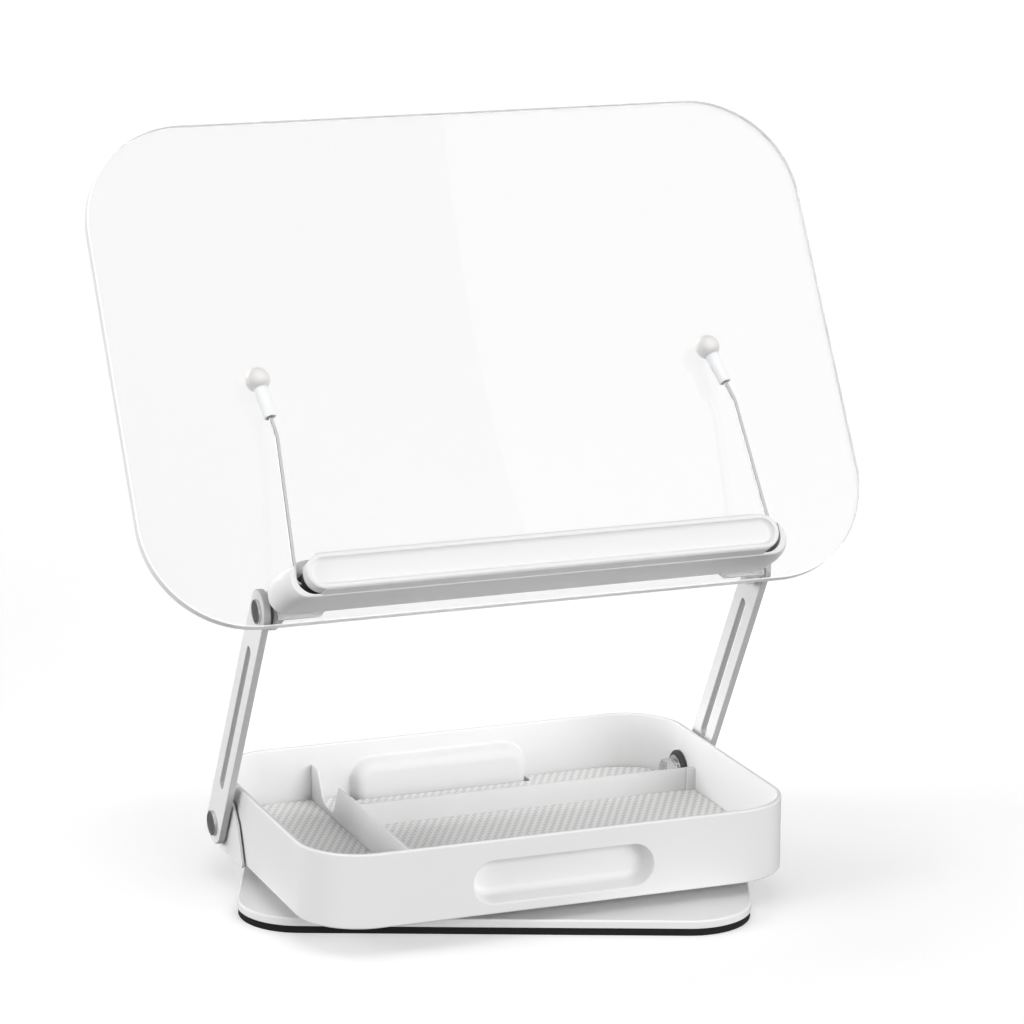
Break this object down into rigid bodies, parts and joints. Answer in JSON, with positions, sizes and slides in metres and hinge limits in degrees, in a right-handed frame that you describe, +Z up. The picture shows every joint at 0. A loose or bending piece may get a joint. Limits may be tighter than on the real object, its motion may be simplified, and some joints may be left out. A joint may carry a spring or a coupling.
{
  "type": "rotating book stand",
  "caption": "Book stand: clear acrylic panel with ledge and page clips on two friction arms, over a divided tray that turns on a ball-bearing base plate.",
  "frame": {"origin": "on the swivel axis at desk level, in the rubber pad's lower face", "axes": "+Z up; -Y to the reader's side, where the ledge is; +X to the reader's right"},
  "size_m": [0.405, 0.2578, 0.4018],
  "materials": {
    "white_plastic": "satin moulded ABS",
    "painted_white": "powder coated, satin",
    "rubber": "matt",
    "acrylic": "clear polished acrylic sheet",
    "steel": "plated",
    "dark_cap": "dark grey with a bright rim",
    "black_plastic": "matt",
    "nylon": "matt nylon",
    "clear_sleeve": "satin grey",
    "board": "plain sheet",
    "woven_liner": "fine woven look"
  },
  "bodies": {
    "base": {"rubber_pad": "rubber", "base_plate": "painted_white", "swivel_lower_race": "steel", "lower_race_screws": "steel", "swivel_bolt": "steel", "swivel_washer": "steel", "swivel_nut": "steel"},
    "bearing_cage": {"ball_cage": "nylon", "bearing_balls": "steel"},
    "tray": {"tray_shell": "white_plastic", "swivel_upper_race": "steel", "upper_race_screws": "steel", "swivel_bush": "nylon", "floor_board": "board", "floor_liner": "woven_liner", "cross_divider": "white_plastic", "side_divider": "white_plastic", "foot_screws": "steel", "left_foot_bracket": "painted_white", "left_pivot_bolt": "steel", "left_pivot_washer": "nylon", "left_pivot_spacer": "nylon", "left_friction_disc": "black_plastic", "left_steel_washer": "steel", "left_spring_washer": "steel", "left_pivot_nut": "steel", "right_foot_bracket": "painted_white", "right_pivot_bolt": "steel", "right_pivot_washer": "nylon", "right_pivot_spacer": "nylon", "right_friction_disc": "black_plastic", "right_steel_washer": "steel", "right_spring_washer": "steel", "right_pivot_nut": "steel"},
    "left_arm": {"left_arm": "painted_white"},
    "right_arm": {"right_arm": "painted_white"},
    "book_rest": {"acrylic_panel": "acrylic", "ledge_housing": "white_plastic", "ledge_bar": "white_plastic", "ledge_bar_screws": "steel", "hinge_screws": "steel", "left_hinge_bracket": "painted_white", "left_hinge_washer": "black_plastic", "left_hinge_bolt": "dark_cap", "left_hinge_nut": "steel", "left_clip_bush": "nylon", "right_hinge_bracket": "painted_white", "right_hinge_washer": "black_plastic", "right_hinge_bolt": "dark_cap", "right_hinge_nut": "steel", "right_clip_bush": "nylon"},
    "left_clip": {"left_clip_rod": "steel", "left_clip_sleeve": "clear_sleeve", "left_clip_ball": "steel"},
    "right_clip": {"right_clip_rod": "steel", "right_clip_sleeve": "clear_sleeve", "right_clip_ball": "steel"}
  },
  "joints": [
    {"name": "tray_swivel", "type": "hinge", "parent": "base", "child": "tray", "pos_m": [0, 0, 0.015], "axis": [0, 0, 1], "continuous": true},
    {"name": "ball_cage_turn", "type": "hinge", "parent": "base", "child": "bearing_cage", "pos_m": [0, 0, 0.01175], "axis": [0, 0, 1], "continuous": true},
    {"name": "left_arm_hinge", "type": "hinge", "parent": "tray", "child": "left_arm", "pos_m": [-0.1403, 0.0529, 0.0296], "axis": [1, 0, 0], "range_deg": [-30, 50]},
    {"name": "right_arm_hinge", "type": "hinge", "parent": "tray", "child": "right_arm", "pos_m": [0.1403, 0.0529, 0.0296], "axis": [1, 0, 0], "range_deg": [-30, 50]},
    {"name": "panel_tilt", "type": "hinge", "parent": "left_arm", "child": "book_rest", "pos_m": [-0.1403, -0.0262, 0.16661], "axis": [-1, 0, 0], "range_deg": [-20, 99]},
    {"name": "left_clip_hinge", "type": "hinge", "parent": "book_rest", "child": "left_clip", "pos_m": [-0.1246, -0.06222, 0.18976], "axis": [1, 0, 0], "range_deg": [0, 55]},
    {"name": "right_clip_hinge", "type": "hinge", "parent": "book_rest", "child": "right_clip", "pos_m": [0.1246, -0.06222, 0.18976], "axis": [1, 0, 0], "range_deg": [0, 55]}
  ],
  "couplings": [
    {"joint": "ball_cage_turn", "follows": "tray_swivel", "ratio": 0.5},
    {"joint": "right_arm_hinge", "follows": "left_arm_hinge", "ratio": 1}
  ]
}
